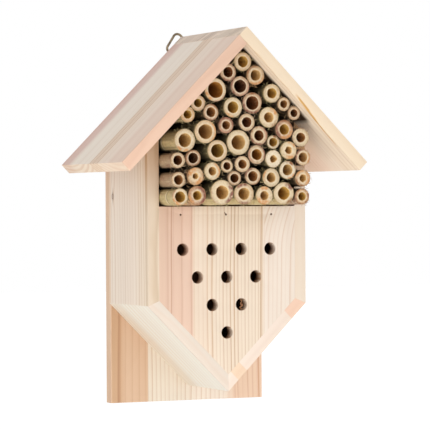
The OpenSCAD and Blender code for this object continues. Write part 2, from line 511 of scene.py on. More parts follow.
    def streak(self, streak):
        """How much of a streak shows at a point."""
        wavy = self.noise(self.place, (0.3, 0.06, 0.3))
        round_arris = self.plus(self.times_plus(wavy, 4.0, self.depth), self.across)
        drawn = self.times_plus(self.along, -streak.slant, round_arris)
        off = self.minus(drawn, streak.depth - streak.slant * streak.start + 2.0)
        return self.times(self.between(self.math("ABSOLUTE", off), streak.width, 0.4 * streak.width),
                          self.between(self.depth, 1.0, 2.0),
                          self.between(self.along, streak.start, streak.start + 6),
                          self.between(self.along, streak.end, streak.end - 12),
                          self.between(self.across, 6.0, 1.5), streak.strength)

    def knot(self, knot):
        """How dark a knot and the crack through it are at a point."""
        stain = self.ramp(self.away(knot, knot.size, 1.3 * knot.size), KNOT_STAIN)
        crack = self.between(self.away(knot, 0.2 * knot.size, 2.6 * knot.size), 1.0, 0.4, 0.0, 0.7)
        return self.math("MAXIMUM", stain, crack)

    def indoor_shade_mask(self):
        """Where shade is painted: 1 on the faces inside the house and 0 outside."""
        soft = self.look.soft
        x, y, z = self.split(self.attribute("room", "Vector"))
        side = self.math("ABSOLUTE", x)
        return self.times(self.between(y, *self.look.shade_depths), self.below(y, ROOM_BACK + SLACK),
                          self.between(side, WALL + soft, WALL - 0.6 * soft),
                          self.below(self.plus(z, side), ROOF_UNDERSIDE + SLACK),
                          self.above(self.minus(z, side), CHAMBER_FLOOR - SLACK))


FRONT = Look([
    Stave(0, 0, (223, 193, 171), (200, 157, 136), 9.0, 0.45, -60, 3),
    Stave(12, 6, (228, 197, 176), (204, 162, 138), 8.5, 0.4, -60, 3),
    Stave(29, 1, (235, 217, 197), (204, 162, 120), 3.8, 0.75, -90, 5),
    Stave(46, 8, (236, 220, 200), (190, 146, 104), 3.0, 1.0, -120, 2),
    Stave(91, 1, (240, 227, 213), (218, 188, 162), 3.4, 0.7, 150, -25),
# Painted shade darkens the walls of the nest holes towards their backs.
], seed=1, drift=1.6, lean=(92, 98, 80), shade_depths=(-96.3, -86.5),
    lines=[Line(10.5, 0.9, 0.9), Line(19.8, 0.5, 0.7), Line(28.5, 0.7, 0.6), Line(87.8, 0.7, 0.8)],
    dents=[Dent(57.3, 127.8, 1.8, 0.45, 0.45)])

BACK = Look([
    Stave(0, 0, (225, 194, 166), (204, 164, 132), 7.0, 0.45, -70, 3),
    Stave(0.8, 0.6, (204, 167, 133), (182, 138, 105), 7.0, 0.45, -70, 3),
    Stave(10, 5, (216, 183, 153), (194, 151, 120), 5.5, 0.45, -70, 3),
    Stave(32.6, 0, (230, 218, 200), (200, 168, 136), 3.9, 0.8, -100, 2),
    Stave(70, 20, (238, 225, 209), (210, 178, 148), 4.2, 0.8, -100, 2),
    Stave(106, 12, (236, 206, 180), (208, 158, 126), 4.4, 0.65, 180, 4),
], seed=2, lines=[Line(7.5, 1.2, 0.85), Line(111.5, 0.8, 0.5), Line(133.3, 1.0, 0.8)])

LEFT_WALL = Look([
    Stave(0, 0, (236, 210, 184), (218, 184, 154), 6.5, 0.4, -80, 30),
    Stave(3.5, 2, (244, 230, 214), (214, 187, 160), 5.2, 0.6, -80, 30),
    Stave(22, 12, (238, 223, 207), (206, 180, 152), 5.2, 0.6, -80, 30),
    Stave(60, 12, (236, 221, 202), (208, 178, 148), 4.6, 0.7, -80, 30),
    Stave(74, 2, (232, 216, 196), (200, 172, 138), 5.0, 0.6, -80, 30),
], seed=3, drift=3.0, knots=[Knot(8.2, 86.5, 3.4)],
    lines=[Line(70.5, 0.8, 0.8), Line(76.2, 2.2, 0.5)],
    # Painted shadow of the roof and the canes at the top of the front edge.
    painted_shadows=[PaintedShadow(77, 134, 5, 70, 0.7), PaintedShadow(84, 134, 5, 60, 0.8)])

RIGHT_WALL = Look([
    Stave(0, 0, (234, 219, 201), (216, 188, 158), 4.5, 0.5, -60, 6),
    Stave(48, 6, (236, 208, 184), (214, 176, 148), 3.8, 0.6, 110, 4),
# Painted shadow of the roof and the canes at the top of the front edge.
], seed=4, painted_shadows=[PaintedShadow(0, 134, 6, 40, 0.9)])

LEFT_LOWER = Look([
    Stave(-20, 0, (234, 221, 207), (226, 201, 177), 6.0, 0.5, -60, 24),
    Stave(2, 4, (240, 235, 222), (231, 208, 178), 6.5, 0.8, -60, 24),
    Stave(58, 16, (236, 225, 207), (223, 195, 165), 6.5, 0.8, -60, 24),
], seed=5, drift=3.0)

RIGHT_LOWER = Look([
    Stave(-20, 0, (242, 225, 210), (236, 207, 180), 5.5, 0.4, -60, 24),
    Stave(24, 3, (246, 230, 210), (236, 205, 176), 5.5, 0.55, -60, 24),
], seed=6, insets=[Inset(-2, 20.5, 24, srgb(243, 208, 184)), Inset(77.5, 88, 24, srgb(241, 213, 185))])

SHELF = Look([
    Stave(0, 0, (236, 210, 180), (212, 172, 132), 5.0, 0.6, -40, 20),
], seed=7)

LEFT_ROOF = Look([
    Stave(0, 0, (236, 201, 177), (214, 170, 144), 5.5, 0.45, -60, 6),
    Stave(1.2, 2, (232, 210, 194), (220, 192, 175), 6.0, 0.35, 12, 44),
    Stave(31, 8, (238, 222, 207), (222, 202, 182), 4.5, 0.4, 12, 44),
    Stave(49, 2, (236, 218, 200), (202, 166, 134), 4.0, 0.4, 20, 40),
    Stave(67, 2, (239, 227, 213), (226, 209, 192), 4.5, 0.4, 110, 60),
    Stave(109, 9, (222, 192, 180), (204, 166, 154), 4.5, 0.5, 110, 60),
# Painted shade darkens the underside behind the canes' fronts.
], seed=8, drift=1.5, shade_depths=(-125, -119), soft=2, shade_colour=DEEP_SHADE,
    sawn=srgb(240, 216, 187), rings=srgb(212, 172, 140),
    lines=[Line(51.5, 1.0, 1.0), Line(55.0, 0.8, 0.8), Line(58.7, 1.1, 1.0), Line(62.2, 0.8, 0.8),
           Line(65.5, 1.0, 1.0)],
    streaks=[Streak(7.6, 0, -5, 170, 0.6, 0.6, HEARTWOOD), Streak(4.6, 0, 10, 110, 0.4, 0.4, HEARTWOOD)])

RIGHT_ROOF = Look([
    Stave(0, 0, (243, 224, 197), (230, 202, 168), 5.0, 0.35, -400, 40),
    Stave(1.2, 1, (250, 232, 208), (202, 168, 134), 3.1, 0.7, -60, 148),
    Stave(24, 10, (255, 240, 220), (232, 194, 162), 2.8, 0.8, -60, 148),
    Stave(46, 16, (252, 230, 210), (228, 186, 160), 3.6, 0.8, -60, 148),
# Painted shade darkens the underside behind the canes' fronts.
], seed=9, drift=1.5, shade_depths=(-125, -119), soft=2, shade_colour=DEEP_SHADE,
    sawn=srgb(228, 211, 195), rings=srgb(132, 108, 92),
    streaks=[Streak(7.3, 0.1, 66, 128, 1.5, 1.0, RESIN), Streak(9.6, 0, 5, 70, 0.7, 0.3, RESIN)])


def board(name, node, across, along, start, look):
    """A board with eased edges and grain along one direction, measured from a corner of it."""
    mesh = eased(node, name, BOARD_EASE, 30)
    into = across.cross(along)
    offsets = [v.co - start for v in mesh.vertices]
    grain = [Vector((o.dot(across), o.dot(along), o.dot(into))) / MM for o in offsets]
    ends = [float(abs(face.normal.dot(along)) > 0.8) for face in mesh.polygons]
    store(mesh, "grain", grain)
    store(mesh, "room", [v.co / MM for v in mesh.vertices])
    store(mesh, "end_grain", ends, "FACE")
    smooth(mesh, 28)
    material = Wood("pine_" + name.removesuffix("_board"), look).material
    add_piece(name, mesh, [material], "house", node)


def make_boards():
    ridge = Vector((0, low("left_roof_board").y, high("right_roof_board").z))
    board("front_board", "drilled_front", X, Z, low("drilled_front"), FRONT)
    board("back_board", "backboard", X, Z, low("backboard"), BACK)
    board("left_wall_board", "left_side_wall", -Y, Z, corner("left_side_wall", 0, 1, 0), LEFT_WALL)
    board("right_wall_board", "right_side_wall", Y, Z, low("right_side_wall"), RIGHT_WALL)
    board("left_lower_board", "left_lower_wall", Y, RIGHT_SLOPE, corner("left_lower_wall", 0, 0, 1),
          LEFT_LOWER)
    board("right_lower_board", "right_lower_wall", Y, LEFT_SLOPE, corner("right_lower_wall", 1, 0, 1),
          RIGHT_LOWER)
    board("shelf_board", "cane_shelf", Y, X, low("cane_shelf"), SHELF)
    board("left_roof", "left_roof_board", Y, LEFT_SLOPE, ridge, LEFT_ROOF)
    board("right_roof", "right_roof_board", Y, RIGHT_SLOPE, ridge, RIGHT_ROOF)


# ---------------- canes

SKINS = palette(green=(200, 182, 128), tan=(200, 172, 126), pink=(168, 138, 112),
                purple=(146, 104, 82), brown=(160, 124, 88), orange=(194, 146, 98))
FACES = palette(cream=(219, 198, 162), white=(234, 217, 189), tan=(208, 179, 142),
                pink=(194, 160, 128), orange=(212, 168, 122), rose=(182, 138, 106))
BORES = palette(olive=(224, 182, 98), tan=(236, 198, 134), brown=(188, 134, 80), red=(146, 92, 54),
                dark=(116, 74, 48), amber=(200, 142, 66), moss=(198, 160, 84), sand=(214, 174, 116))
STAINS = palette(orange=(210, 150, 96), purple=(132, 82, 72), brown=(144, 92, 58),
                 pink=(186, 138, 116))
PITH = srgb(238, 219, 186)
OUTLINE = srgb(146, 108, 72)
BUNDLE = srgb(166, 128, 84)
# The near-black colour of the painted shade in the gaps between the canes.
GAP_SHADE_COLOUR = srgb(24, 18, 12)

# Skin, sawn face and bore of each cane, then how blotched it is.
CANE_LOOKS = """
green tan olive 0.2      purple pink red 0.5      orange tan tan 0.3       pink pink dark 0.4
tan cream amber 0.2      green cream olive 0.2    purple pink red 0.5      brown tan brown 0.4
brown pink red 0.4       green cream olive 0.2    green pink moss 0.3      brown pink brown 0.4
green orange olive 0.5   purple rose brown 0.6    pink tan red 0.4         green cream tan 0.3
purple rose olive 0.6    green tan sand 0.2       purple tan red 0.6       green cream olive 0.3
pink cream brown 0.3     green cream tan 0.2      green cream tan 0.2      green tan moss 0.2
green cream tan 0.3      purple tan sand 0.5      pink tan amber 0.4       green white tan 0.1
pink tan red 0.5         brown rose dark 0.5      tan tan red 0.4          pink tan brown 0.3
green white tan 0.3      green cream tan 0.3      brown tan tan 0.5        pink tan brown 0.4
orange tan tan 0.5       pink pink red 0.5        pink tan brown 0.5       green cream tan 0.3
green cream olive 0.3    orange rose olive 0.6    green cream tan 0.2      green tan tan 0.3
green cream tan 0.3      green cream olive 0.2    purple orange olive 0.6
""".split()

# Stained patches of the sawn faces: the cane's number, the colour, the middle and half width around
# the cane in degrees from the right, and how far out in the wall they start.
CANE_STAINS = """
2 purple 270 60 0.6    3 brown 140 60 0.6     3 orange 290 60 0.5    4 purple 200 70 0.6
4 pink 320 50 0.6      5 orange 215 30 0.2    5 pink 300 30 0.7      7 purple 235 75 0.45
7 brown 85 40 0.5      10 orange 235 30 0.4   12 brown 60 40 0.6     12 purple 250 50 0.7
14 purple 90 110 0.55  14 pink 270 60 0.6     16 orange 50 25 0.3    16 brown 315 20 0.5
17 purple 185 60 0.4   17 orange 300 60 0.3   17 brown 60 50 0.6     18 orange 40 35 0.6
18 orange 330 25 0.7   19 purple 240 60 0.6   19 pink 30 50 0.5      20 brown 60 30 0.2
23 orange 255 35 0.4   25 orange 60 30 0.6    25 orange 280 30 0.3   26 purple 140 60 0.6
26 orange 350 40 0.5   27 pink 200 50 0.5     27 purple 20 50 0.7    30 brown 150 60 0.6
33 brown 70 25 0.3     33 orange 300 30 0.6   34 orange 10 60 0.5    35 orange 0 60 0.3
35 brown 230 50 0.6    35 orange 120 40 0.5   37 orange 310 40 0.3   37 orange 130 40 0.2
37 brown 170 25 0.7    39 purple 130 50 0.5   39 brown 300 40 0.7    40 orange 160 40 0.6
41 orange 225 50 0.1   41 pink 150 30 0.6     42 purple 10 85 0.45   42 orange 210 30 0.5
43 purple 350 60 0.35  43 pink 200 30 0.8     44 purple 105 30 0.4   44 purple 265 25 0.5
45 orange 90 25 0.3    45 orange 250 60 0.1   46 purple 50 20 0.2    46 brown 310 18 0.5
47 brown 0 70 0.5      47 purple 200 60 0.6   47 brown 100 40 0.7
""".split()

# Tufts of torn fibre on the rims that the saw tore most, by the cane's number. The others have two.
TUFTS = {7: 8, 12: 4, 13: 5, 14: 3, 19: 4, 27: 4, 29: 3, 30: 4, 35: 3, 36: 5, 37: 5, 39: 3, 45: 3}
USUAL_TUFTS = 2
HAIRS = 26

# The canes whose narrow bores are the least round.
UNEVEN_BORES = {25, 28, 35, 37}

# How far behind its front a cane's knot may lie, in metres.
KNOT_PLACES = [0.006, 0.011, 0.024, 0.05, 0.06]

# Where a cane's rings of points lie, in millimetres behind its knot and behind its front, on the skin
# and in the bore, and as shares of the wall on the sawn face.
CANE_SIDES = 64
KNOT_STEPS = (5, 3.6, 3, 2.4, 1.2, 0.4, 0, -0.4, -1.2, -2.4)
SKIN_STEPS = (1.2, 3, 6, 9, 13, 18, 24, 28, 32, 48, 70)
BORE_STEPS = (0.35, 1.5, 4, 8, 14, 22, 40, 65)
FACE_SHARES = (0.97, 0.88, 0.75, 0.6, 0.45, 0.3, 0.15, 0.05)
EDGE = 0.35 * MM
PLUG = 15 * MM
FACE_RELIEF = 0.16 * MM

# Canes closer than this to each other shade each other.
NEAR = 45 * MM
# Painted shade in the gaps: the reach over which it fades as a gap opens, how far behind a cane's front
# it builds up, and the turns of the rays that measure the gap.
GAP_SHADE_REACH = 22 * MM
GAP_SHADE_DEPTH = 2.8 * MM
GAP_SHADE_TURNS = (-0.7, 0.0, 0.7)
HOUSE_FRONT = low("left_side_wall").y

# A cane's middle, its axis at y = 0, its radius, where its two ends are and the radius of its bore.
Cane = namedtuple("Cane", "centre axis radius front back bore")

# A ring of a cane's points: where it lies, its radius as a function of the angle and the place, its
# material, and how far out in the wall it is.
Row = namedtuple("Row", "y size slot radial")
SKIN, FACE, BORE = range(3)

# What shows at a point of a cane: how far out in the wall it is, its painted shade, and its stain.
Mark = namedtuple("Mark", "radial grime stained stain")
UNSTAINED = (0.0, STAINS["brown"])


def cane_skin():
    """Bamboo bark: fine streaks, a dark line and a pale bloom at each knot, and painted shade in the
    gaps.
    """
    g = Graph("bamboo_skin", roughness=0.42, specular=0.35)
    place = g.attribute("cane", "Vector")
    tint = g.attribute("skin_tint", "Color")
    streaks = g.noise(place, (1.6, 0.04, 1.6), detail=3.0)
    patches = g.noise(place, (0.22, 0.07, 0.22), detail=3.0)
    colour = g.blend(tint, srgb(216, 198, 154), streaks, 0.35, 0.75, 0.5)
    colour = g.blend(colour, srgb(150, 122, 82), streaks, 0.5, 0.3, 0.5)
    blotch = g.times(g.between(patches, 0.52, 0.66), g.attribute("blotch"))
    colour = g.mix(blotch, colour, STAINS["purple"])
    specks = g.noise(place, (1.3, 0.5, 1.3))
    colour = g.blend(colour, srgb(118, 88, 64), specks, 0.56, 0.7, 0.4)
    colour = g.blend(colour, srgb(228, 212, 178), specks, 0.42, 0.3, 0.4)
    from_knot = g.attribute("from_knot")
    colour = g.blend(colour, srgb(112, 84, 56), g.math("ABSOLUTE", from_knot), 0.7, 0.2, 0.8)
    from_bloom = g.math("ABSOLUTE", g.plus(from_knot, -2.0))
    colour = g.blend(colour, srgb(226, 216, 188), from_bloom, 1.6, 0.3, 0.5)
    # Painted shade in the gaps between the canes.
    colour = g.mix(g.attribute("grime"), colour, GAP_SHADE_COLOUR)
    g.set("Base Color", colour)
    g.set("Roughness", g.between(streaks, 0.3, 0.7, 0.36, 0.56))
    g.bump(streaks, 0.1 * MM, 0.5)
    return g.material


def cane_face():
    """The sawn end: pale pith inside, tinted and dotted wood outside, stains and saw marks."""
    g = Graph("bamboo_face", roughness=0.7, specular=0.2)
    place = g.attribute("cane", "Vector")
    radial = g.attribute("radial")
    tint = g.attribute("face_tint", "Color")
    skin = g.attribute("skin_tint", "Color")
    cloud = g.noise(place, (0.6, 0.2, 0.6), detail=4.0, roughness=0.65)
    colour = g.blend(g.mix(0.35, PITH, tint), tint, g.times_plus(cloud, 1.1, radial), 0.62, 1.25)
    bundles = g.noise(place, (2.6, 0.4, 2.6))
    dense = g.times(g.between(bundles, 0.48, 0.62), g.between(radial, 0.2, 1.0, 0.2, 0.75))
    colour = g.mix(dense, colour, BUNDLE)
    marks = g.noise(g.attribute("saw", "Vector"), (4.0, 0.0, 0.35), detail=1.0)
    colour = g.blend(colour, srgb(248, 238, 216), marks, 0.5, 0.7, 0.35)
    patches = g.noise(place, (0.45, 0.1, 0.45), detail=3.0)
    stain = g.times(g.attribute("stained"), g.between(patches, 0.34, 0.52, 0.15, 0.95))
    colour = g.mix(stain, colour, g.attribute("stain", "Color"))
    spots = g.times(g.between(patches, 0.54, 0.64), g.attribute("blotch"),
                    g.between(radial, 0.25, 0.8, 0.2, 1.0))
    colour = g.mix(spots, colour, STAINS["brown"])
    edge = g.noise(place, (1.1, 0.2, 1.1))
    wide = g.between(edge, 0.35, 0.65, 0.0, 0.14)
    colour = g.blend(colour, g.mix(0.6, skin, OUTLINE), g.plus(radial, wide), 0.92, 1.04, 0.85)
    colour = g.blend(colour, OUTLINE, radial, 0.1, 0.01, 0.5)
    g.set("Base Color", colour)
    g.bump(g.times_plus(marks, 0.8, bundles), 0.2 * MM, 0.9)
    return g.material


def cane_bore():
    """The wall of the bore: mottled, with short strands."""
    g = Graph("bamboo_bore", roughness=0.85, specular=0.05)
    place = g.attribute("cane", "Vector")
    tint = g.attribute("bore_tint", "Color")
    strands = g.noise(place, (1.5, 0.7, 1.5), detail=3.0)
    colour = g.blend(tint, srgb(140, 98, 58), strands, 0.5, 0.72, 0.6, "MULTIPLY")
    colour = g.blend(colour, srgb(250, 230, 184), strands, 0.42, 0.3, 0.3)
    g.set("Base Color", colour)
    g.bump(strands, 0.18 * MM, 0.7)
    return g.material


def measure_canes():
    """Every cane's place and size, from its node's box and the vertices at its front end."""
    canes = {}
    for node in sorted(frame["nodes"]):
        if not node.startswith("cane_") or node == "cane_shelf":
            continue
        lowest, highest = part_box(node)
        centre = (lowest + highest) / 2
        ends = [v.co for v in frame["nodes"][node].data.vertices if abs(v.co.y - lowest.y) < 0.1 * MM]
        bore = min(math.hypot(co.x - centre.x, co.z - centre.z) for co in ends)
        axis = Vector((centre.x, 0, centre.z))
        canes[node] = Cane(centre, axis, (highest.x - lowest.x) / 2, lowest.y, highest.y, bore)
    return canes


def open_distance(x, z, angle, others):
    """How far a ray in the plane of the fronts goes before it meets another cane or the house."""
    step_x, step_z = math.cos(angle), math.sin(angle)
    nearest = 1.0
    for other in others:
        to_x, to_z = other.centre.x - x, other.centre.z - z
        ahead = to_x * step_x + to_z * step_z
        beside = abs(to_x * step_z - to_z * step_x)
        if ahead > 0 and beside < other.radius:
            reach = ahead - math.sqrt(other.radius ** 2 - beside ** 2)
            nearest = min(nearest, max(0.0, reach))
    across = step_z + abs(step_x) * (1 if x * step_x > 0 else -1)
    if step_z > 0 and across > 0:
        nearest = min(nearest, max(0.0, (ROOF_UNDERSIDE * MM - z - abs(x)) / across))
    return nearest


def gap_shade_at(point, angle, front, others):
    """How dark the painted shade is at a point of the skin: more where the gap is narrow and deep."""
    depth = clamp((point.y - front) / GAP_SHADE_DEPTH)
    if depth == 0:
        return 0.0
    reaches = [open_distance(point.x, point.z, angle + turn, others) for turn in GAP_SHADE_TURNS]
    closed = sum(math.exp(-reach / GAP_SHADE_REACH) for reach in reaches) / len(reaches)
    closed = max(0.0, closed - 0.3) / 0.7
    inside = clamp((point.y - HOUSE_FRONT) / (4 * MM))
    return max(0.98 * depth ** 0.5 * closed ** 0.45, 0.9 * inside)


def stains_of(number):
    """The stains of one cane: the colour, middle, half width and start of each."""
    rows = [CANE_STAINS[start:start + 5] for start in range(0, len(CANE_STAINS), 5)]
    return [(STAINS[row[1]], *map(float, row[2:])) for row in rows if int(row[0]) == number]


def stain_at(stains, angle, radial):
    """How stained a point of the sawn face is, and in which colour."""
    result = UNSTAINED
    for colour, middle, half, start in stains:
        turn = (math.degrees(angle) - middle + 180) % 360 - 180
        amount = clamp(2.4 * (1 - abs(turn) / (half + 12))) * clamp((radial - start + 0.15) / 0.3)
        if amount > result[0]:
            result = (amount, colour)
    return result


class CaneForm:
    """A cane's own uneven form."""

    def __init__(self, index, cane, rng):
        self.cane = cane
        self.seed = Vector((37.0 * index, 11.0 * index, 0.0))
        self.squash = rng.uniform(0.0, 0.022)
        self.squash_turn = rng.uniform(0, math.pi)
        self.knot_y = cane.front + rng.choice(KNOT_PLACES)
        self.saw_turn = rng.uniform(0, math.pi)
        self.rough = 0.12 if index + 1 in UNEVEN_BORES else 0.035

    def uneven(self, angle, y, size, detail):
        """How uneven a surface is at a point, by up to a size and with finer waves for more detail."""
        return size * noise.noise(around(angle, detail, y / MM * 0.03) + self.seed)

    def outer(self, angle, y):
        """The radius of the skin, which swells at the knot and is drawn in behind it."""
        shape = 0.992 - self.squash * (1 + math.cos(2 * (angle - self.squash_turn))) / 2
        shape += self.uneven(angle, y, 0.022, 1.3) + self.uneven(angle, y, 0.012, 3.5)
        swell = math.exp(-((y - self.knot_y) / (1.6 * MM)) ** 2)
        waist = math.exp(-((y - self.knot_y - 3 * MM) / MM) ** 2)
        return self.cane.radius * min(0.999, shape + 0.024 * (swell - 0.7 * waist))

    def inner(self, angle, y):
        """The radius of the bore."""
        return self.cane.bore * (1 + self.uneven(angle, y, self.rough, 1.6) * 2)

    def wall(self, share):
        """The radius at a share of the way from the bore to the skin."""
        return lambda angle, y: self.inner(angle, y) * (1 - share) + self.outer(angle, y) * share

    def face_depth(self, angle, share):
        """How far a point of the sawn face lies behind the foremost one, with chips at the rim."""
        chip = noise.noise(around(angle, 2.2, 5.0) + self.seed)
        chip = max(0.0, chip - 0.22) * 2.2 * MM * max(0.0, share - 0.75) * 4
        return FACE_RELIEF * (1 + noise.noise(around(angle, 3, share * 3) + self.seed)) + chip

    def behind(self, row, angle):
        """How far a point lies behind its ring's place."""
        if row.y == self.cane.front:
            return self.face_depth(angle, row.radial)
        if row.y == self.cane.front + EDGE and row.slot == SKIN:
            return max(0.0, self.face_depth(angle, 1.0) - FACE_RELIEF)
        return 0.0

    def rows(self):
        """The rings of points: the closed back, the skin, the sawn face, and the bore to its plug."""
        front, back = self.cane.front, self.cane.back
        by_knot = [self.knot_y + step * MM for step in KNOT_STEPS]
        on_skin = [front + step * MM for step in SKIN_STEPS]
        skin = {round(y, 5) for y in by_knot + on_skin if front + 2 * EDGE < y < back - EDGE}
        rows = [Row(back, lambda angle, y: 0.7 * self.outer(angle, y), FACE, 1.0)]
        rows += [Row(back, self.outer, FACE, 1.0)]
        rows += [Row(y, self.outer, SKIN, 1.0) for y in sorted(skin, reverse=True)]
        rows += [Row(front + EDGE, self.outer, SKIN, 1.0)]
        rows += [Row(front, self.wall(share), FACE, share) for share in FACE_SHARES]
        rows += [Row(front + step * MM, self.inner, BORE, 0.0) for step in BORE_STEPS]
        rows += [Row(back - PLUG, self.inner, BORE, 0.0)]
        rows += [Row(back - PLUG + MM, lambda angle, y: 0.5 * self.inner(angle, y), BORE, 0.0)]
        return rows


def cane_rings(shape, form, number, others):
    """Adds a cane's rings of points and the tube through them, and returns every point's mark."""
    rows = form.rows()
    stains = stains_of(number)
    rings, marks = [], []
    for row in rows:
        ring = []
        for side in range(CANE_SIDES):
            angle = 2 * math.pi * side / CANE_SIDES
            point = form.cane.axis + around(angle, row.size(angle, row.y), row.y)
            stain = stain_at(stains, angle, row.radial) if row.slot == FACE else UNSTAINED
            # Painted shade on the skin, darker where the gap is narrow and deep.
            gap_darkness = gap_shade_at(point, angle, form.cane.front, others) if row.slot == SKIN else 0.0
            point.y += form.behind(row, angle)
            ring.append(shape.verts.new(point))
            marks.append(Mark(row.radial, gap_darkness, *stain))
        rings.append(ring)
    slots = [row.slot for row in rows[1:] for _ in range(CANE_SIDES)] + [FACE, BORE]
    for face, slot in zip(tube(shape, rings), slots):
        face.material_index = slot
        face.smooth = len(face.verts) == 4
    return marks


def hair(shape, rng, cane, y):
    """A dry hair or shred of husk that stands off the skin in the gap behind the fronts."""
    angle = rng.uniform(0, 2 * math.pi)
    outward, tangent = around(angle), around(angle + math.pi / 2)
    length = rng.uniform(1.2, 3.5) * MM
    lean = rng.uniform(-1.5, 1.5)
    root = cane.centre + outward * cane.radius * 0.97
    root.y = y
    tip = root + (outward * rng.uniform(0.2, 0.7) + tangent * lean).normalized() * length
    tip.y -= rng.uniform(0.0, 1.5) * MM
    middle = (root + tip) / 2 + outward * 0.25 * length
    width = rng.uniform(0.07, 0.22) * MM
    across = (tip - root).cross(Y).normalized()
    rings = []
    for point, share in ((root, 1.0), (middle, 0.9), (tip, 0.2)):
        wide = width * share
        rings.append([shape.verts.new(point + offset * wide) for offset in (across, -across, Y)])
    tube(shape, rings)


def fibre(shape, rng, cane, angle):
    """A torn fibre that curls out of the rim."""
    length = rng.uniform(0.8, 2.6) * MM * rng.choice((1, 1, 1, 1.8))
    width = rng.uniform(0.05, 0.13) * MM
    lift = rng.uniform(0.0, 0.9)
    bend = rng.uniform(-1.1, 1.1)
    outward, tangent = around(angle), around(angle + math.pi / 2)
    rings = []
    for step in range(5):
        share = step / 4
        turn = angle + bend * share ** 1.5 * length / cane.radius
        out = min(cane.radius * 0.96 + 0.6 * length * share * lift, cane.radius + 2.5 * MM)
        point = cane.axis + around(turn, out, cane.front - 0.35 * length * share + 0.25 * MM)
        wide = width * (1 - 0.8 * share)
        rings.append([shape.verts.new(point + offset * wide) for offset in (tangent, -tangent, outward)])
    tube(shape, rings)


def add_fibres(shape, rng, cane, number):
    """Tufts of torn fibre on the rim, and hairs in the gap behind it."""
    for _ in range(TUFTS.get(number, USUAL_TUFTS)):
        middle = rng.uniform(0, 2 * math.pi)
        for _ in range(rng.randint(3, 8)):
            fibre(shape, rng, cane, middle + rng.gauss(0, 0.14))
    for _ in range(HAIRS):
        hair(shape, rng, cane, cane.front + rng.uniform(0.5, 9) * MM)


def store_looks(mesh, index, form, marks, shade):
    """Keeps what the cane's materials read: places on the cane, marks and tints."""
    offsets = [(v.co - form.cane.centre) / MM for v in mesh.vertices]
    saw = Matrix.Rotation(form.saw_turn, 3, "Y")
    store(mesh, "cane", [offset + form.seed for offset in offsets])
    store(mesh, "saw", [saw @ offset + form.seed for offset in offsets])
    store(mesh, "from_knot", [(v.co.y - form.knot_y) / MM for v in mesh.vertices])
    for name in ("radial", "grime", "stained"):
        store(mesh, name, [getattr(mark, name) for mark in marks])
    store(mesh, "stain", [mark.stain for mark in marks])
    skin, face, bore, blotch = CANE_LOOKS[4 * index:4 * index + 4]
    store(mesh, "blotch", [float(blotch)] * len(marks))
    tints = {"skin_tint": SKINS[skin], "face_tint": FACES[face], "bore_tint": BORES[bore]}
    for name, colour in tints.items():
        shaded = tuple(shade * channel for channel in colour[:3]) + (1.0,)
        store(mesh, name, [shaded] * len(marks))


def make_cane(index, node, canes, materials):
    """A sawn cane: uneven skin, swollen knots, a chipped rough face and a bore with a wavy wall."""
    rng = random.Random(1000 + index)
    cane = canes[node]
    form = CaneForm(index, cane, rng)
    others = [other for other in canes.values()
              if other is not cane and (other.axis - cane.axis).length < NEAR]
    shape = bmesh.new()
    marks = cane_rings(shape, form, index + 1, others)
    add_fibres(shape, rng, cane, index + 1)
    marks += [Mark(1.0, 0.0, *UNSTAINED)] * (len(shape.verts) - len(marks))
    mesh = finished(shape, node)
    store_looks(mesh, index, form, marks, shade=rng.uniform(0.9, 1.06))
    mesh.set_sharp_from_angle(angle=math.radians(40))
    add_piece("bamboo_" + node[-2:], mesh, materials, "house", node)


def make_canes():
    materials = [cane_skin(), cane_face(), cane_bore()]
    canes = measure_canes()
    for index, node in enumerate(canes):
        make_cane(index, node, canes, materials)


# ---------------- the curl of wood in a hole

SHAVING_HOLE = "nest_hole_3_2"
SHAVING_LENGTH = 7.4 * MM
SHAVING_TURNS = 2.3
SHAVING_STEPS = 26


def hole_mouth(name):
    """The middle of a drilled hole, just inside its mouth."""
    boxes = {opening["name"]: opening["box_m"] for opening in frame["record"]["physics"]["openings"]}
    lowest, highest = boxes[name]
    middle = (Vector(lowest) + Vector(highest)) / 2
    middle.y = low("drilled_front").y + 0.8 * MM
    return middle


def shaving_wood():
    """Thin wood with darker strands."""
    g = Graph("pine_shaving", roughness=0.7, specular=0.2)
    strands = g.noise(g.attribute("curl", "Vector"), (4.0, 4.0, 0.8))
    g.set("Base Color", g.blend(srgb(150, 98, 66), srgb(198, 144, 104), strands, 0.35, 0.65))
    g.bump(strands, 0.06 * MM, 0.6)
    return g.material


def make_shaving():
    """A curl of wood that the drill left in the mouth of a hole."""
    place = hole_mouth(SHAVING_HOLE) - 0.35 * MM * X
    shape = bmesh.new()
    rings = []
    for step in range(SHAVING_STEPS + 1):
        share = step / SHAVING_STEPS
        turn = 2 * math.pi * SHAVING_TURNS * share
        outward = Vector((math.cos(turn), math.sin(turn), 0))
        curl = (0.75 + 0.35 * math.sin(5 * share)) * MM
        middle = place + curl * outward
        middle += Vector((0.5 * MM * math.sin(3 * share), 0, (share - 0.5) * SHAVING_LENGTH))
        width = Vector((0.1, 0.0, 0.55)) * MM * (1 - 0.5 * abs(2 * share - 1))
        skin = outward * 0.1 * MM
        offsets = (width + skin, skin - width, -width - skin, width - skin)
        rings.append([shape.verts.new(middle + offset) for offset in offsets])
    tube(shape, rings)
    mesh = finished(shape, "shaving")
    store(mesh, "curl", [v.co / MM for v in mesh.vertices])
    smooth(mesh, 40)
    add_piece("shaving", mesh, [shaving_wood()], "house")


# ---------------- metal


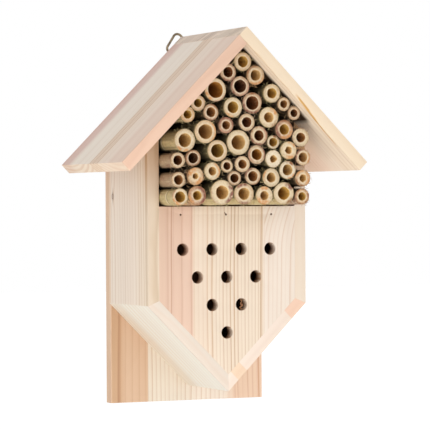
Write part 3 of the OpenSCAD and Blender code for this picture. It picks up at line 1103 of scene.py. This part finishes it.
def metal(name, colour, dark, roughness):
    """Dull metal with darker handling marks and fine scratches."""
    g = Graph(name, roughness, metallic=1.0)
    place = g.attribute("metal", "Vector")
    cloudy = g.noise(place, (0.38, 0.38, 0.38), detail=4.0, roughness=0.6)
    fine = g.noise(place, (2.6, 2.6, 0.7))
    g.set("Base Color", g.blend(dark, colour, cloudy, 0.35, 0.68))
    g.set("Roughness", g.between(cloudy, 0.3, 0.7, roughness + 0.15, roughness - 0.08))
    g.bump(fine, 0.03 * MM, 0.5)
    return g.material


def hardware(name, node, body, material, ease):
    """A metal piece with eased edges."""
    mesh = eased(node, name, ease, 50)
    store(mesh, "metal", [v.co / MM for v in mesh.vertices])
    smooth(mesh, 40)
    add_piece(name, mesh, [material], body, node)


def make_hardware():
    bronze = metal("bronzed_wire", srgb(170, 152, 126), srgb(106, 92, 74), 0.45)
    zinc = metal("zinc_plate", srgb(206, 206, 202), srgb(182, 182, 178), 0.4)
    steel = metal("nail_steel", srgb(120, 92, 72), srgb(60, 42, 32), 0.5)
    hardware("ring", "hanger_ring", "ring", bronze, 0)
    hardware("strap", "hanger_strap", "house", zinc, 0.12 * MM)
    hardware("screws", "hanger_screws", "house", zinc, 0.1 * MM)
    hardware("nail_set", "nails", "house", steel, 0)


# ---------------- stage, light and camera

# The camera of the photograph: where it stands, which way it looks in degrees, and its lens.
CAMERA_PLACE = Vector((-0.8333, -1.8759, -0.1430))
CAMERA_YAW = 24.80
CAMERA_DIP = 0.178
CAMERA_ROLL = 0.318
CAMERA_LENS = 206.99
CAMERA_SENSOR = 36

# Each softbox's name, place, size in metres and power in watts. They stand low and in front, three of
# them on the left.
SOFTBOXES = [
    ("softbox", (-0.85, -1.45, -0.45), 1.2, 3.7),
    ("low_softbox", (-0.27, -0.47, -0.63), 0.5, 2.25),
    ("front_softbox", (-0.05, -0.9, -0.6), 0.5, 0.4),
    ("right_softbox", (0.7, -0.7, -0.6), 0.6, 1.1),
]

# How strong the world's light is from straight below and from straight above.
WORLD_BELOW = 1.2
WORLD_ABOVE = 0.72

WHITE = (1, 1, 1, 1)
FLOOR_DROP = 0.35
FLOOR_REACH = 12.0
FLOOR_GLOW = 0.33


def camera():
    data = bpy.data.cameras.new("camera")
    data.lens = CAMERA_LENS
    data.sensor_width = CAMERA_SENSOR
    data.clip_end = 50
    made = add_object("camera", data)
    made.matrix_world = (Matrix.Translation(CAMERA_PLACE)
                         @ Matrix.Rotation(-math.radians(CAMERA_YAW), 4, "Z")
                         @ Matrix.Rotation(math.radians(90 - CAMERA_DIP), 4, "X")
                         @ Matrix.Rotation(-math.radians(CAMERA_ROLL), 4, "Z"))
    bpy.context.scene.camera = made


def seen_directly(g):
    """1 for what the camera sees directly, in a mirror or through glass, and 0 for light."""
    path = g.tree.nodes.new("ShaderNodeLightPath").outputs
    seen = g.math("MAXIMUM", path["Is Camera Ray"], path["Is Glossy Ray"])
    return g.math("MAXIMUM", seen, path["Is Transmission Ray"])


def world():
    """A world that looks white, and whose light is stronger from below than from above."""
    made = bpy.data.worlds.new("studio")
    bpy.context.scene.world = made
    made.use_nodes = True
    g = Tree(made.node_tree)
    g.tree.nodes.clear()
    height = g.split(g.node("ShaderNodeTexCoord", {}, "Generated"))[2]
    strength = g.between(height, -1.0, 1.0, WORLD_BELOW, WORLD_ABOVE)
    light = g.node("ShaderNodeBackground", {"Color": WHITE, "Strength": strength})
    white = g.node("ShaderNodeBackground", {"Color": WHITE})
    mixed = g.node("ShaderNodeMixShader", {0: seen_directly(g), 1: light, 2: white})
    output = g.tree.nodes.new("ShaderNodeOutputWorld")
    g.put(output.inputs[0], mixed)


def lamps():
    """Soft lamps that face the middle of the house."""
    middle = (CAD_BOX[0] + CAD_BOX[1]) / 2
    for name, place, size, energy in SOFTBOXES:
        lamp = bpy.data.lights.new(name, "AREA")
        lamp.size = size
        lamp.energy = energy
        made = add_object(name, lamp)
        made.location = place
        made.rotation_euler = (middle - made.location).to_track_quat("-Z", "Y").to_euler()
        made.visible_camera = False


def floor():
    """A pale floor well below the hanging house. It reads as white, apart from the shadow."""
    height = CAD_BOX[0].z - FLOOR_DROP
    turns = ((-1, -1), (1, -1), (1, 1), (-1, 1))
    mesh = bpy.data.meshes.new("floor")
    mesh.from_pydata([(x * FLOOR_REACH, y * FLOOR_REACH, height) for x, y in turns], [], [(0, 1, 2, 3)])
    g = Graph("floor_white", roughness=0.9, specular=0.5)
    g.set("Base Color", (0.9, 0.9, 0.9, 1))
    g.set("Emission Color", WHITE)
    g.set("Emission Strength", g.times(seen_directly(g), FLOOR_GLOW))
    mesh.materials.append(g.material)
    add_object("floor", mesh)


bpy.context.scene.view_settings.view_transform = "Standard"
make_boards()
make_canes()
make_shaving()
make_hardware()
camera()
world()
lamps()
floor()
